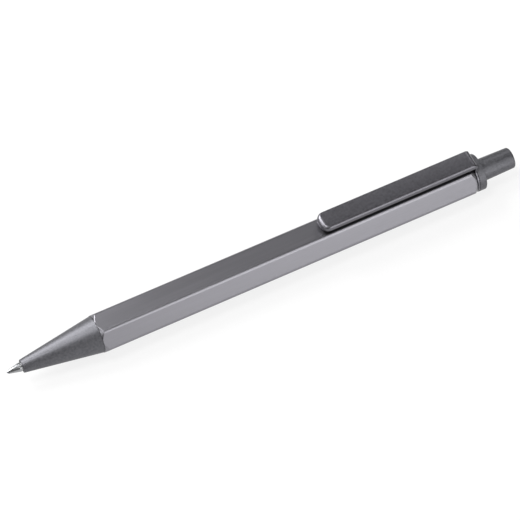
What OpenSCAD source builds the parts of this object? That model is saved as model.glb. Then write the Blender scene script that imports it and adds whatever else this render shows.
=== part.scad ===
// Retractable ballpoint pen with a six-sided metal barrel, a screwed nose cone, a pocket
// clip and a push button at its rear end. Millimetres. The pen lies along X with its
// writing point towards -X, its clip up, and its lowest flat on z = 0.

/* [Barrel] */
// Distance across the flats of the hexagon
across_flats = 9.6; // [9.5:0.05:11]
// Rounding of the six long ridges
ridge_r = 1; // [0.2:0.05:1.5]
// Angle between the turned chamfers and the pen's axis
chamfer_angle = 35; // [25:1:50]
// Diameter of the chamfer's circle at the rear end of the barrel
rear_end_d = 8.9; // [8.8:0.05:9.3]
// Diameter of the drilled bore
bore_d = 7.2; // [6.9:0.05:7.5]

/* [Threaded bushes] */
// Outer diameter of the brass bushes pressed into both ends of the barrel
bush_d = 8.3; // [8.2:0.05:8.5]
// Diameter of the threads that the bushes carry
thread_d = 7.6; // [7.3:0.05:7.8]
// Length of each bush
bush_len = 8; // [6:0.1:12]
// Distance of each bush from the end of the barrel
bush_inset = 0.3; // [0.1:0.05:1]

/* [Nose cone] */
// Length of the visible cone
nose_len = 19.85; // [18:0.05:24]
// Diameter of the cone at its mouth
nose_tip_d = 3.36; // [3.2:0.02:4.4]
// How far the round ends stand inside the flats of the barrel
seat_step = 0.085; // [0.04:0.005:0.3]
// Length of the threaded spigot behind the cone
spigot_len = 6; // [4:0.1:7.5]

/* [Refill] */
// Length of the refill from ball to rear end
refill_len = 98.1; // [96:0.1:100]
// Diameter of the refill's metal tube
refill_d = 5.9; // [5.5:0.05:6]
// Wall of the refill's tube
refill_wall = 0.3; // [0.15:0.05:0.6]
// How far the point stands out of the nose
reach = 3.9; // [3.2:0.05:4.4]
// Diameter of the writing ball
ball_d = 0.7; // [0.5:0.05:0.9]
// Length of the point's cone
point_cone = 3.15; // [2.4:0.05:3.6]
// Diameter of the point behind its cone
point_d = 2.3; // [2:0.05:2.5]
// Distance from the ball to the neck that carries the point
point_len = 8.8; // [8.2:0.1:9.2]
// Diameter of the neck
neck_d = 3.2; // [2.9:0.05:3.3]
// Distance from the ball to the shoulder of the tube
shoulder_at = 18.5; // [17.8:0.1:20]
// Depth of each plug inside the tube
plug_depth = 3.5; // [2:0.1:6]
// Length of the plug's head behind the tube
plug_head = 8; // [5:0.1:12]
// Length of the ink left in the tube
ink_len = 50; // [5:1:60]

/* [Spring] */
// Length of the spring with the point out
spring_len = 8.4; // [7:0.1:9]
// Outer diameter of the spring
spring_d = 4.1; // [3.95:0.05:4.2]
// Diameter of the spring's wire
wire_d = 0.36; // [0.25:0.01:0.4]
// Number of turns
spring_turns = 10; // [6:1:12]

/* [Click mechanism] */
// Travel of the button and the refill between point in and point out
travel = 5; // [4.2:0.1:5.5]
// How far the button can be pressed past its latched place
press = 1.2; // [0.6:0.05:1.3]
// Length of the rotor ahead of its ribs
rotor_nose = 9.4; // [8:0.1:11]
// Length of the rotor's ribs
rib_len = 3; // [2:0.1:4]
// Length of the fixed lands between the grooves
land_len = 6; // [5.6:0.1:7]
// Width of a fixed land
land_w = 0.55; // [0.4:0.05:0.8]
// Width of a rib
rib_w = 0.8; // [0.5:0.05:1]
// Outer diameter of the brass sleeve
sleeve_d = 6.7; // [6.6:0.05:6.75]
// Wall of the brass sleeve
sleeve_wall = 0.27; // [0.2:0.01:0.3]
// Wall of the cam sleeve behind its grooves
cam_wall = 0.42; // [0.3:0.01:0.5]
// Height of the lands above the grooves
land_h = 0.45; // [0.3:0.01:0.6]
// Height of the cam teeth
tooth_h = 0.7; // [0.4:0.05:1]
// Diameter of the plunger's stem
stem_d = 3; // [2.4:0.05:3.2]

/* [Collar and button] */
// Length of the round collar
collar_len = 1.895; // [1.6:0.005:3]
// Thickness of the collar's rear lip
lip_t = 0.6; // [0.4:0.05:1]
// Length of the collar's threaded stub
stub_len = 6; // [4:0.1:7.5]
// Diameter of the button where it leaves the collar
button_d = 5.8; // [5.4:0.02:5.9]
// Diameter of the button at its rear end
button_end_d = 5.42; // [5:0.02:5.8]
// How far the button stands out with the point out
button_out = 9.3; // [7:0.05:12]
// Rounding of the button's end
button_r = 0.45; // [0.2:0.05:1]
// Length of the button's shank, from its front end to the collar's rear face
shank_len = 7.15; // [5:0.05:12]
// Length of the moulded bush that guides the button
guide_len = 2; // [1:0.1:2.5]

/* [Clip] */
// Length of the clip from its rear face to its front end
clip_len = 42.9; // [30:0.1:55]
// Width of the clip
clip_w = 5.34; // [4:0.02:6]
// Height of the clip's top above the barrel
clip_rise = 2.9; // [2.4:0.02:3.6]
// Height of the pressed sides
clip_h = 1.4; // [1.2:0.02:1.8]
// Thickness of the clip's sheet
sheet_t = 0.5; // [0.3:0.05:0.7]
// Rounding of the clip's upper edges
clip_edge_r = 0.48; // [0.2:0.02:0.6]
// Rounding of the clip's front corners, seen from above
clip_corner_r = 2.1; // [0.8:0.05:2.5]
// Rounding of the clip's turned-down front end, seen from the side
clip_front_r = 1.35; // [0.6:0.05:1.4]
// Outer radius of the bend between the clip and its riser
bend_r = 1.2; // [0.6:0.05:1.4]
// Diameter of the contact bump under the front end
bump_d = 2.2; // [1.4:0.1:3]
// Distance from the front end to the middle of the bump
bump_at = 2.6; // [2:0.1:6]
// Diameter of the clip's ring between barrel and collar
ring_d = 9.2; // [8.8:0.05:9.4]

/* [Fits] */
// Radial clearance of pieces that slide or turn
slide_gap = 0.1; // [0.05:0.01:0.14]
// Radial clearance of pieces that pass loosely through the nose or into each other
loose_gap = 0.15; // [0.1:0.01:0.2]
// Clearance ahead of pieces that travel, at the end of their travel
end_gap = 0.2; // [0.1:0.05:0.4]
// Radial clearance of the button in its bush and of threads
run_gap = 0.05; // [0.02:0.01:0.08]
// Clearance of pieces that are pressed or seated
seat_gap = 0.02; // [0.01:0.005:0.03]
// Free play between the plunger and the rotor
crown_play = 0.6; // [0.3:0.05:1]

/* [Hidden] */

$fn = 96;
// Overrun of cuts past the faces that they open
over = 0.5;

// Places along the pen, counted from the front of the ball
nose_front = reach;
barrel_front = nose_front + nose_len;
axis_z = across_flats / 2;

// Diameters that follow the flats
corner_d = across_flats / cos(30);
end_d = across_flats - 2 * seat_step;

// Inner steps of the nose
mouth_d = point_d + 2 * slide_gap;
throat_front = point_len - press - end_gap;
throat_d = neck_d + 2 * loose_gap;
spring_seat = shoulder_at - spring_len;
chamber_d = spring_d + 2 * loose_gap;
tube_room_front = shoulder_at - press - 2 * end_gap;
tube_room_d = refill_d + 2 * loose_gap;

// Refill
ball_r = ball_d / 2;
socket_r = ball_r + seat_gap;
point_rim_share = 0.77;
point_rim = ball_r * point_rim_share;
rim_wall = 0.08;
channel_d = 0.6;
tail_d = 1.7;
tail_len = 3;
tube_in_d = refill_d - 2 * refill_wall;
tube_rear = refill_len - plug_head;
front_wall = 2 * refill_wall;
ink_front = shoulder_at + front_wall + plug_depth;
vent_d = 1.2;
notch_w = 1;
notch_depth = 1.5;

// Helical spring, as a tube of a few flat sides carried along the coil
wire_sides = 6;
turn_rings = 12;
ring_total = spring_turns * turn_rings;
coil_r = (spring_d - wire_d) / 2;
coil_from = spring_seat + wire_d / 2 + seat_gap;
coil_rise = spring_len - wire_d - 2 * seat_gap;

// Click mechanism
sleeve_in_d = sleeve_d - 2 * sleeve_wall;
sleeve_lap = 2;
sleeve_front = refill_len - sleeve_lap;
cam_d = sleeve_in_d - 2 * seat_gap;
groove_d = cam_d - 2 * cam_wall;
land_d = groove_d - 2 * land_h;
rib_d = groove_d - 2 * slide_gap;
core_d = land_d - 2 * slide_gap;
ribs_rear = refill_len + rotor_nose + rib_len;
land_front = ribs_rear + slide_gap;
cam_setback = 0.5;
cam_front = refill_len + travel + cam_setback;
teeth_rear = land_front + land_w;
crown_front = teeth_rear + crown_play;
crown_len = 2.6;
plunger_ribs_rear = crown_front + crown_len;
plunger_rib_len = 1.6;
stop_front = plunger_ribs_rear + travel + slide_gap;
stop_t = 0.8;
stop_hole_d = stem_d + 2 * end_gap;
cam_rear = stop_front + stop_t;
pilot_d = 2;
pilot_len = 4.4;
pilot_room = pilot_d + 2 * loose_gap;
// The rotor turns half a groove spacing over the travel, so its ramps follow that helix
groove_count = 3;
groove_angle = 360 / groove_count;
land_mean_r = (land_d + rib_d) / 4;
ramp_slope = travel / (land_mean_r * PI * groove_angle / 360);
tooth_count = 2 * groove_count;

// Button and rear end, stacked behind the mechanism so that the barrel is as long as both need
button_front = cam_rear + press + slide_gap;
collar_rear = button_front + shank_len;
ring_rear = collar_rear - collar_len;
barrel_rear = ring_rear - sheet_t;
barrel_len = barrel_rear - barrel_front;
overall = collar_rear + button_out;
guide_front = collar_rear - lip_t - guide_len;
socket_len = shank_len + button_out / 3;
collar_in_d = sleeve_d + 2 * seat_gap;
stub_d = thread_d;
lip_d = button_d + 2 * slide_gap;

// Clip
clip_rear = ring_rear;
clip_front = clip_rear - clip_len;
clip_top = across_flats + clip_rise;
clip_under = clip_top - clip_h;
split_z = across_flats + (clip_rise - clip_h) / 2;
hinge_gap = 0.03;

// Moves a profile, drawn as radius and place along the pen, onto the pen's axis
module on_axis() {
    translate([-overall / 2, 0, axis_z]) rotate([0, 90, 0]) children();
}

// A turned piece from an outline of [radius, place] points
module turned(outline) {
    on_axis() rotate_extrude() polygon(outline);
}

// A plain turned ring between two places
module tube(d_out, d_in, from, to) {
    turned([[d_in / 2, from], [d_out / 2, from], [d_out / 2, to], [d_in / 2, to]]);
}

// A solid turned bar between two places
module bar(d, from, to) {
    turned([[0, from], [d / 2, from], [d / 2, to], [0, to]]);
}

// Hexagon with its flats across x and a fine-stepped arc of radius r at each corner
module rounded_hexagon(flats, r) {
    reach = (flats / 2 - r) / cos(30);
    polygon([
        for (corner = [30 : 60 : 330], bend = [-30 : 10 : 30])
            [reach * cos(corner) + r * cos(corner + bend),
             reach * sin(corner) + r * sin(corner + bend)]
    ]);
}

// Radial blocks at equal angles, cut to a ring; each has an outline of [width, place] points
module radial_blocks(count, first_angle, d_in, d_out, outline) {
    from = min([for (p = outline) p[1]]);
    to = max([for (p = outline) p[1]]);
    on_axis() intersection() {
        for (i = [0 : count - 1])
            rotate(first_angle + i * 360 / count)
                rotate([90, 0, 90]) linear_extrude(d_out) polygon(outline);
        translate([0, 0, from - over]) difference() {
            cylinder(d = d_out, h = to - from + 2 * over);
            translate([0, 0, -over]) cylinder(d = d_in, h = to - from + 4 * over);
        }
    }
}

// Outline of a straight rib with one ramped end
function ramped_rib(w, low, high, low_ramp, high_ramp) = [
    [-w / 2, low - low_ramp * w / 2], [w / 2, low + low_ramp * w / 2],
    [w / 2, high + high_ramp * w / 2], [-w / 2, high - high_ramp * w / 2]
];

// V-shaped notches that leave pointed teeth at the end of a bar; a negative depth opens rearwards
module tooth_notches(place, depth, d_in, d_out) {
    half = PI * d_out / (4 * tooth_count);
    radial_blocks(tooth_count, 180 / tooth_count, d_in, d_out + over,
                  [[-half, place], [half, place], [0, place + depth]]);
}

// Length of a chamfer's cone from a circle at the barrel's end out to the sharp corners
function chamfer_len(d) = (corner_d - d) / 2 / tan(chamfer_angle);

module barrel() {
    color("#6b6c70") difference() {
        intersection() {
            on_axis() translate([0, 0, barrel_front])
                linear_extrude(barrel_len) rounded_hexagon(across_flats, ridge_r);
            turned([
                [0, barrel_front], [end_d / 2, barrel_front],
                [corner_d / 2, barrel_front + chamfer_len(end_d)],
                [corner_d / 2, barrel_rear - chamfer_len(rear_end_d)],
                [rear_end_d / 2, barrel_rear], [0, barrel_rear]
            ]);
        }
        bar(bore_d, barrel_front - over, barrel_rear + over);
        bar(bush_d + 2 * seat_gap, barrel_front - over, barrel_front + bush_inset + bush_len);
        bar(bush_d + 2 * seat_gap, barrel_rear - bush_inset - bush_len, barrel_rear + over);
    }
}

module front_bush() {
    color("#b08d57") tube(bush_d, thread_d + 2 * run_gap,
                          barrel_front + bush_inset, barrel_front + bush_inset + bush_len);
}

module rear_bush() {
    color("#b08d57") tube(bush_d, thread_d + 2 * run_gap,
                          barrel_rear - bush_inset - bush_len, barrel_rear - bush_inset);
}

module nose_cone() {
    color("#515256") turned([
        [mouth_d / 2, nose_front], [nose_tip_d / 2, nose_front],
        [end_d / 2, barrel_front], [thread_d / 2, barrel_front],
        [thread_d / 2, barrel_front + spigot_len], [tube_room_d / 2, barrel_front + spigot_len],
        [tube_room_d / 2, tube_room_front], [chamber_d / 2, tube_room_front],
        [chamber_d / 2, spring_seat], [throat_d / 2, spring_seat],
        [throat_d / 2, throat_front], [mouth_d / 2, throat_front]
    ]);
}

module writing_ball() {
    color("#c9ccd0") on_axis() translate([0, 0, ball_r]) sphere(ball_r);
}

module writing_point() {
    color("#d4d5d8") difference() {
        turned([
            [0, point_rim], [socket_r + rim_wall, point_rim],
            [point_d / 2 - seat_gap, point_cone], [point_d / 2, point_cone],
            [point_d / 2, point_len], [tail_d / 2, point_len],
            [tail_d / 2, point_len + tail_len], [0, point_len + tail_len]
        ]);
        on_axis() translate([0, 0, ball_r]) sphere(socket_r);
        bar(channel_d, ball_r, point_len + tail_len + over);
    }
}

module point_holder() {
    color("#b08d57") difference() {
        union() {
            bar(neck_d, point_len, shoulder_at + front_wall);
            bar(tube_in_d - 2 * seat_gap, shoulder_at + front_wall, ink_front);
        }
        bar(tail_d + 2 * seat_gap, point_len - over, point_len + tail_len);
        bar(channel_d, point_len, ink_front + over);
    }
}

module refill_tube() {
    color("#c2c4c8") turned([
        [neck_d / 2 + seat_gap, shoulder_at], [refill_d / 2 - refill_wall / 2, shoulder_at],
        [refill_d / 2, shoulder_at + refill_wall / 2], [refill_d / 2, tube_rear],
        [tube_in_d / 2, tube_rear], [tube_in_d / 2, shoulder_at + front_wall],
        [neck_d / 2 + seat_gap, shoulder_at + front_wall]
    ]);
}

module ink_column() {
    color("#14141c") bar(tube_in_d - 2 * seat_gap, ink_front, ink_front + ink_len);
}

module refill_plug() {
    color("#2b2b2e") difference() {
        union() {
            bar(tube_in_d - 2 * seat_gap, tube_rear - plug_depth, tube_rear);
            bar(refill_d, tube_rear, refill_len);
        }
        bar(vent_d, tube_rear - plug_depth - over, refill_len + over);
        for (turn = [0 : 60 : 120])
            on_axis() rotate(turn) translate([0, 0, refill_len - notch_depth + refill_d / 2])
                cube([refill_d + over, notch_w, refill_d], center = true);
    }
}

// Points of one ring of the wire, in the plane that holds the pen's axis
function wire_ring(i) = [
    for (k = [0 : wire_sides - 1])
        let (
            turn = 360 * i / turn_rings,
            side = 360 * k / wire_sides,
            r = coil_r + cos(side) * wire_d / 2
        )
        [r * cos(turn), r * sin(turn), coil_from + coil_rise * i / ring_total + sin(side) * wire_d / 2]
];

module refill_spring() {
    points = [for (i = [0 : ring_total]) each wire_ring(i)];
    sides = [
        for (i = [0 : ring_total - 1], k = [0 : wire_sides - 1])
            let (
                a = i * wire_sides + k,
                b = i * wire_sides + (k + 1) % wire_sides,
                c = b + wire_sides,
                d = a + wire_sides
            )
            each [[a, c, b], [a, d, c]]
    ];
    last = ring_total * wire_sides;
    caps = [for (k = [1 : wire_sides - 2]) each [[0, k, k + 1], [last, last + k + 1, last + k]]];
    color("#b9bcc2") on_axis() polyhedron(points, concat(sides, caps));
}

module mechanism_sleeve() {
    color("#b08d57") tube(sleeve_d, sleeve_in_d, sleeve_front, guide_front);
}

module cam_sleeve() {
    color("#e4e1d6") union() {
        tube(cam_d, groove_d, cam_front, cam_rear);
        tube(groove_d + cam_wall, stop_hole_d, stop_front, cam_rear);
        radial_blocks(groove_count, 0, land_d, groove_d + cam_wall,
                      ramped_rib(land_w, land_front, land_front + land_len, ramp_slope, 0));
    }
}

module rotor() {
    color("#d8d4c4") difference() {
        union() {
            bar(core_d, refill_len, teeth_rear);
            bar(pilot_d, teeth_rear - tooth_h, teeth_rear - tooth_h + pilot_len);
            radial_blocks(groove_count, 0, core_d - land_h, rib_d,
                          ramped_rib(rib_w, ribs_rear - rib_len, ribs_rear, 0, ramp_slope));
        }
        tooth_notches(teeth_rear, -tooth_h, pilot_d, core_d);
    }
}

module plunger() {
    color("#3a3a3e") difference() {
        union() {
            bar(core_d, crown_front, plunger_ribs_rear);
            bar(stem_d, plunger_ribs_rear, button_front + socket_len);
            radial_blocks(groove_count, groove_angle / 2, core_d - land_h, rib_d,
                          ramped_rib(rib_w, plunger_ribs_rear - plunger_rib_len,
                                     plunger_ribs_rear, 0, 0));
        }
        bar(pilot_room, crown_front - over, crown_front + pilot_len);
        tooth_notches(crown_front, tooth_h, pilot_d, core_d);
    }
}

module push_button() {
    last = overall - button_r;
    color("#55565a") difference() {
        turned(concat(
            [[0, button_front], [button_d / 2, button_front], [button_d / 2, collar_rear]],
            [for (turn = [0 : 15 : 90])
                [button_end_d / 2 - button_r + button_r * cos(turn), last + button_r * sin(turn)]],
            [[0, overall]]
        ));
        bar(stem_d + 2 * seat_gap, button_front - over, button_front + socket_len + seat_gap);
    }
}

module button_bush() {
    color("#e8e6df") tube(sleeve_d, button_d + 2 * run_gap,
                          guide_front + seat_gap, collar_rear - lip_t - seat_gap);
}

module collar() {
    color("#58595d") turned([
        [collar_in_d / 2, ring_rear - stub_len], [stub_d / 2, ring_rear - stub_len],
        [stub_d / 2, ring_rear], [end_d / 2, ring_rear],
        [end_d / 2, collar_rear], [lip_d / 2, collar_rear],
        [lip_d / 2, collar_rear - lip_t], [collar_in_d / 2, collar_rear - lip_t]
    ]);
}

// A pressed bar with rounded upper edges and rounded front corners, from its front end
module pressed_bar(length, w, h, edge_r, corner_r) {
    // Upper half of the rounded section, as seen along the bar
    module side_section(half) {
        union() {
            translate([-half, 0]) square([2 * half, h - edge_r]);
            translate([-half + edge_r, 0]) square([2 * (half - edge_r), h]);
            for (side = [-1, 1])
                translate([side * (half - edge_r), h - edge_r]) circle(edge_r);
        }
    }
    union() {
        translate([corner_r, 0, 0]) rotate([90, 0, 90])
            linear_extrude(length - corner_r) side_section(w / 2);
        translate([corner_r, w / 2 - corner_r, 0]) rotate([90, 0, 0])
            linear_extrude(w - 2 * corner_r) side_section(corner_r);
        for (side = [-1, 1])
            translate([corner_r, side * (w / 2 - corner_r), 0])
                rotate_extrude() intersection() {
                    side_section(corner_r);
                    square([corner_r, h]);
                }
    }
}

module clip_plate() {
    color("#46474b") difference() {
        union() {
            tube(ring_d, thread_d + 2 * run_gap, barrel_rear, ring_rear);
            translate([barrel_rear - overall / 2, -clip_w / 2, axis_z + thread_d / 2])
                cube([sheet_t, clip_w, split_z - hinge_gap - axis_z - thread_d / 2]);
        }
        bar(thread_d + 2 * run_gap, barrel_rear - over, ring_rear + over);
    }
}

module clip_arm() {
    color("#4c4d51") translate([clip_front - overall / 2, 0, 0]) {
        difference() {
            intersection() {
                translate([0, 0, clip_under])
                    pressed_bar(clip_len, clip_w, clip_h, clip_edge_r, clip_corner_r);
                rounded_ends(0);
            }
            intersection() {
                translate([0, 0, clip_under - sheet_t]) pressed_bar_room();
                rounded_ends(sheet_t);
            }
        }
        translate([clip_len - sheet_t, -clip_w / 2, split_z])
            cube([sheet_t, clip_w, clip_under - split_z + sheet_t]);
        contact_bump();
    }
}

// The clip's shape from the side, with its round front end and rear bend, moved inwards
module rounded_ends(inset) {
    rotate([90, 0, 0]) translate([0, 0, -clip_w]) linear_extrude(2 * clip_w) union() {
        translate([clip_front_r, 0])
            square([clip_len - clip_front_r - bend_r, clip_top - inset]);
        translate([inset, 0])
            square([clip_len / 2, clip_top - clip_front_r]);
        translate([clip_len / 2, 0])
            square([clip_len / 2 - inset, clip_top - bend_r]);
        translate([clip_front_r, clip_top - clip_front_r]) circle(clip_front_r - inset);
        translate([clip_len - bend_r, clip_top - bend_r]) circle(bend_r - inset);
    }
}

// The hollow of the pressed channel
module pressed_bar_room() {
    room_r = clip_corner_r - sheet_t;
    translate([sheet_t + room_r, -clip_w / 2 + sheet_t, 0])
        cube([clip_len - 2 * sheet_t - room_r, clip_w - 2 * sheet_t, clip_h]);
    translate([sheet_t, -clip_w / 2 + sheet_t + room_r, 0])
        cube([clip_len - 2 * sheet_t, clip_w - 2 * sheet_t - 2 * room_r, clip_h]);
    for (side = [-1, 1])
        translate([sheet_t + room_r, side * (clip_w / 2 - sheet_t - room_r), 0])
            cylinder(r = room_r, h = clip_h);
}

// A round-ended dimple that presses on the barrel
module contact_bump() {
    bottom = across_flats + seat_gap;
    translate([bump_at, 0, 0]) {
        translate([0, 0, bottom + bump_d / 2]) sphere(d = bump_d);
        translate([0, 0, bottom + bump_d / 2])
            cylinder(d = bump_d, h = clip_top - sheet_t / 2 - bottom - bump_d / 2);
    }
}

barrel();
front_bush();
rear_bush();
nose_cone();
writing_ball();
writing_point();
point_holder();
refill_tube();
ink_column();
refill_plug();
refill_spring();
mechanism_sleeve();
cam_sleeve();
rotor();
plunger();
push_button();
button_bush();
collar();
clip_plate();
clip_arm();
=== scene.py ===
# %% [markdown]
# A metal ballpoint pen, studied piece by piece.
# The pen has a six-sided barrel of anodised aluminium, a turned nose cone, a sprung pocket
# clip and a push button. A measured model of it, the frame, gives the place and size of every
# piece. This notebook dresses that frame: each outer surface is worked out as a formula on a
# grid, and each finish starts from the real material.

import math

import bmesh
import bpy
import numpy as np
from mathutils import Matrix, Vector


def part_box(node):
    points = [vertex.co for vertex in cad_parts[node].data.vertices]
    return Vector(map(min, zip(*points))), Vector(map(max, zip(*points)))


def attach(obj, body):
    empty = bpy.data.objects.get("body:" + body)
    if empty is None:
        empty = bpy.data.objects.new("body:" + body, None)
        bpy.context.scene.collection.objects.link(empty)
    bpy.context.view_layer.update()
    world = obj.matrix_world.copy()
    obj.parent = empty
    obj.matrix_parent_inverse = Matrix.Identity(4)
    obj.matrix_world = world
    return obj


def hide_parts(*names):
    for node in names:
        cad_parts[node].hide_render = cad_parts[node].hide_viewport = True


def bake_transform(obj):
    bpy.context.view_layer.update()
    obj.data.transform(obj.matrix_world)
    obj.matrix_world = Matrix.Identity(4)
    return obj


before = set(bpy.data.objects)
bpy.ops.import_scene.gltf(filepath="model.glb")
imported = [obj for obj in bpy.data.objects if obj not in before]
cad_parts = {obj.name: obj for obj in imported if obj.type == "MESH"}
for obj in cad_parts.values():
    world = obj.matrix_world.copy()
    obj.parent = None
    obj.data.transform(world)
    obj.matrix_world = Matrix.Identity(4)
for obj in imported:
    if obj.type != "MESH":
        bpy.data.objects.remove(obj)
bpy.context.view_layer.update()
MM = 0.001

# %% [markdown]
# The camera comes first, because every judgement is made through it.
# The photograph was taken from well above and a little to the left, with a long lens, so the
# pen shows its upper face and the face next to it almost equally. The angles, the distance and
# the lens were found by fitting the pen's own outlines, so the render lands on the photograph.

# %% Camera
VIEW_AZIMUTH = math.radians(-27.243)
VIEW_ELEVATION = math.radians(57.939)
VIEW_ROLL = math.radians(0.459)
VIEW_DISTANCE = 745.5 * MM
LENS = 211.17
AIM_HEIGHT, AIM_RIGHT, AIM_UP = 4.6 * MM, -1.071 * MM, 0.751 * MM
NEAREST, FARTHEST = 0.01, 20
AXIS_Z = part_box("barrel")[1].z / 2


def make_camera():
    """A camera that looks at the middle of the pen from the photograph's direction."""
    back = Vector((
        math.sin(VIEW_AZIMUTH) * math.cos(VIEW_ELEVATION),
        -math.cos(VIEW_AZIMUTH) * math.cos(VIEW_ELEVATION),
        math.sin(VIEW_ELEVATION),
    ))
    level = Vector((math.cos(VIEW_AZIMUTH), math.sin(VIEW_AZIMUTH), 0))
    upright = back.cross(level)
    right = level * math.cos(VIEW_ROLL) + upright * math.sin(VIEW_ROLL)
    up = upright * math.cos(VIEW_ROLL) - level * math.sin(VIEW_ROLL)
    place = Vector((0, 0, AIM_HEIGHT)) + right * AIM_RIGHT + up * AIM_UP + back * VIEW_DISTANCE
    data = bpy.data.cameras.new("camera")
    data.lens = LENS
    data.clip_start, data.clip_end = NEAREST, FARTHEST
    camera = bpy.data.objects.new("camera", data)
    bpy.context.scene.collection.objects.link(camera)
    camera.matrix_world = Matrix((
        (right.x, up.x, back.x, place.x),
        (right.y, up.y, back.y, place.y),
        (right.z, up.z, back.z, place.z),
        (0, 0, 0, 1),
    ))
    bpy.context.scene.camera = camera
    return place


print("camera at", [round(c, 3) for c in make_camera()])

# %% [markdown]
# Colours are written as the sRGB hex values that a picture editor shows, and shaders want
# linear light, so one function converts them. A second small function adds a node, sets it and
# links it, which keeps every material below down to a few readable lines.

# %% Colour and node helpers


def linear(hex_colour):
    """The linear RGBA of an sRGB hex colour, by the standard sRGB curve."""
    channels = [int(hex_colour[i:i + 2], 16) / 255 for i in (1, 3, 5)]
    return [c / 12.92 if c <= 0.04045 else ((c + 0.055) / 1.055) ** 2.4 for c in channels] + [1.0]


def add_node(tree, kind, inputs=None, **settings):
    """Adds a node, applies its settings, and links or sets each named or numbered input."""
    node = tree.nodes.new(kind)
    for name, value in settings.items():
        setattr(node, name, value)
    for name, value in (inputs or {}).items():
        if isinstance(value, bpy.types.NodeSocket):
            tree.links.new(value, node.inputs[name])
        else:
            node.inputs[name].default_value = value
    return node


def new_material(name):
    """An empty node material and its tree."""
    material = bpy.data.materials.new(name)
    material.use_nodes = True
    material.node_tree.nodes.clear()
    print("material:", name)
    return material, material.node_tree


def close_material(tree, shader):
    """Links the finished shader to the material's output."""
    add_node(tree, "ShaderNodeOutputMaterial", {"Surface": shader.outputs[0]})


print("mid grey, #808080, in linear light:", round(linear("#808080")[0], 3))

# %% [markdown]
# Every new shape is a grid of points. One function turns a grid into a closed mesh, another
# turns a profile about the pen's axis, as a lathe would, and a third rounds the corners of a
# profile, because a real turned edge is never perfectly sharp and its tiny round catches light.

# %% Mesh helpers
TURN_STEPS = 96
SHARP_ANGLE = math.radians(32)
MERGE_DISTANCE, TINY_EDGE = 1e-7, 1e-8
HOLD_SHARE = 0.4


def grid_faces(rows, columns, wrap_rows):
    """Quads of a rows by columns grid, as index arrays: point, next in its row, next in the
    row below, point below. A row closes on itself, and wrap_rows joins the last row to the
    first."""
    i = np.arange(rows if wrap_rows else rows - 1)
    j = np.arange(columns)
    i, j = np.meshgrid(i, j, indexing="ij")
    below, beside = (i + 1) % rows, (j + 1) % columns
    quads = (i * columns + j, i * columns + beside, below * columns + beside, below * columns + j)
    return np.stack(quads, -1).reshape(-1, 4)


def make_piece(name, points, faces, material):
    """A smooth mesh object from points and faces, with doubles merged and normals outwards."""
    mesh = bpy.data.meshes.new(name)
    mesh.from_pydata(points.reshape(-1, 3).tolist(), [], faces.tolist())
    work = bmesh.new()
    work.from_mesh(mesh)
    bmesh.ops.remove_doubles(work, verts=work.verts, dist=MERGE_DISTANCE)
    bmesh.ops.dissolve_degenerate(work, edges=work.edges, dist=TINY_EDGE)
    bmesh.ops.recalc_face_normals(work, faces=work.faces)
    work.to_mesh(mesh)
    work.free()
    mesh.shade_smooth()
    mesh.set_sharp_from_angle(angle=SHARP_ANGLE)
    mesh.materials.append(material)
    piece = bpy.data.objects.new(name, mesh)
    bpy.context.scene.collection.objects.link(piece)
    print(name, "faces:", len(mesh.polygons))
    return piece


def rounded(corners, steps=5):
    """A profile with its corners rounded. Each corner is (x, r, radius); a radius of 0 stays
    sharp. The arc touches both sides, and one more point on each side holds its shading."""
    points = []
    count = len(corners)
    for k, (x, r, radius) in enumerate(corners):
        here = np.array((x, r))
        before = np.array(corners[(k - 1) % count][:2]) - here
        after = np.array(corners[(k + 1) % count][:2]) - here
        if radius == 0:
            points.append(here)
            continue
        before, after = before / np.linalg.norm(before), after / np.linalg.norm(after)
        half = math.acos(np.clip(before @ after, -1, 1)) / 2
        reach = radius / math.tan(half)
        centre = here + (before + after) / np.linalg.norm(before + after) * radius / math.sin(half)
        start, end = here + before * reach - centre, here + after * reach - centre
        share = np.linspace(0, 1, steps + 1)[:, None]
        arc = start * (1 - share) + end * share
        arc *= radius / np.linalg.norm(arc, axis=1)[:, None]
        hold = radius * HOLD_SHARE
        points += [here + before * (reach + hold), *(centre + arc), here + after * (reach + hold)]
    return np.array(points)


def turn(profile):
    """Points of a profile of (x, r) turned about the pen's axis by an angle a: y = r sin a and
    z = axis + r cos a."""
    angle = np.linspace(0, 2 * math.pi, TURN_STEPS, endpoint=False)
    x = np.repeat(profile[:, :1], TURN_STEPS, axis=1)
    y = profile[:, 1:] * np.sin(angle)
    z = AXIS_Z + profile[:, 1:] * np.cos(angle)
    return np.stack([x, y, z], -1)


def turned_piece(name, profile, material, closed=True):
    """A turned piece: a closed profile makes a ring or tube, an open one ends on the axis."""
    points = turn(profile)
    return make_piece(name, points, grid_faces(len(profile), TURN_STEPS, closed), material)


def place_piece(piece, body, slot, *nodes):
    """The piece rides on a body and stands for the named nodes, which are hidden. The slot argument
    is not used.
    """
    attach(piece, body)
    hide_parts(*nodes)


print("facets of a 10 mm turned piece stand off its circle by",
      round(5 * (1 - math.cos(math.pi / TURN_STEPS)), 4), "mm")

# %% [markdown]
# The barrel is extruded aluminium that was blasted to a fine satin and then dyed dark grey in
# an anodising bath. To the eye that is a soft metallic sheen, lighter where it faces a lamp,
# with faint lengthwise lines left by the extrusion die. The lines are a noise that is stretched
# along the pen: 0.35 mm wide, which is coarser than life so that they just show.

# %% Anodised aluminium
DIE_LINE_WIDTH = 0.35 * MM
DIE_LINE_LENGTH = 25 * MM
BLAST_GRAIN = 0.12 * MM


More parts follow.
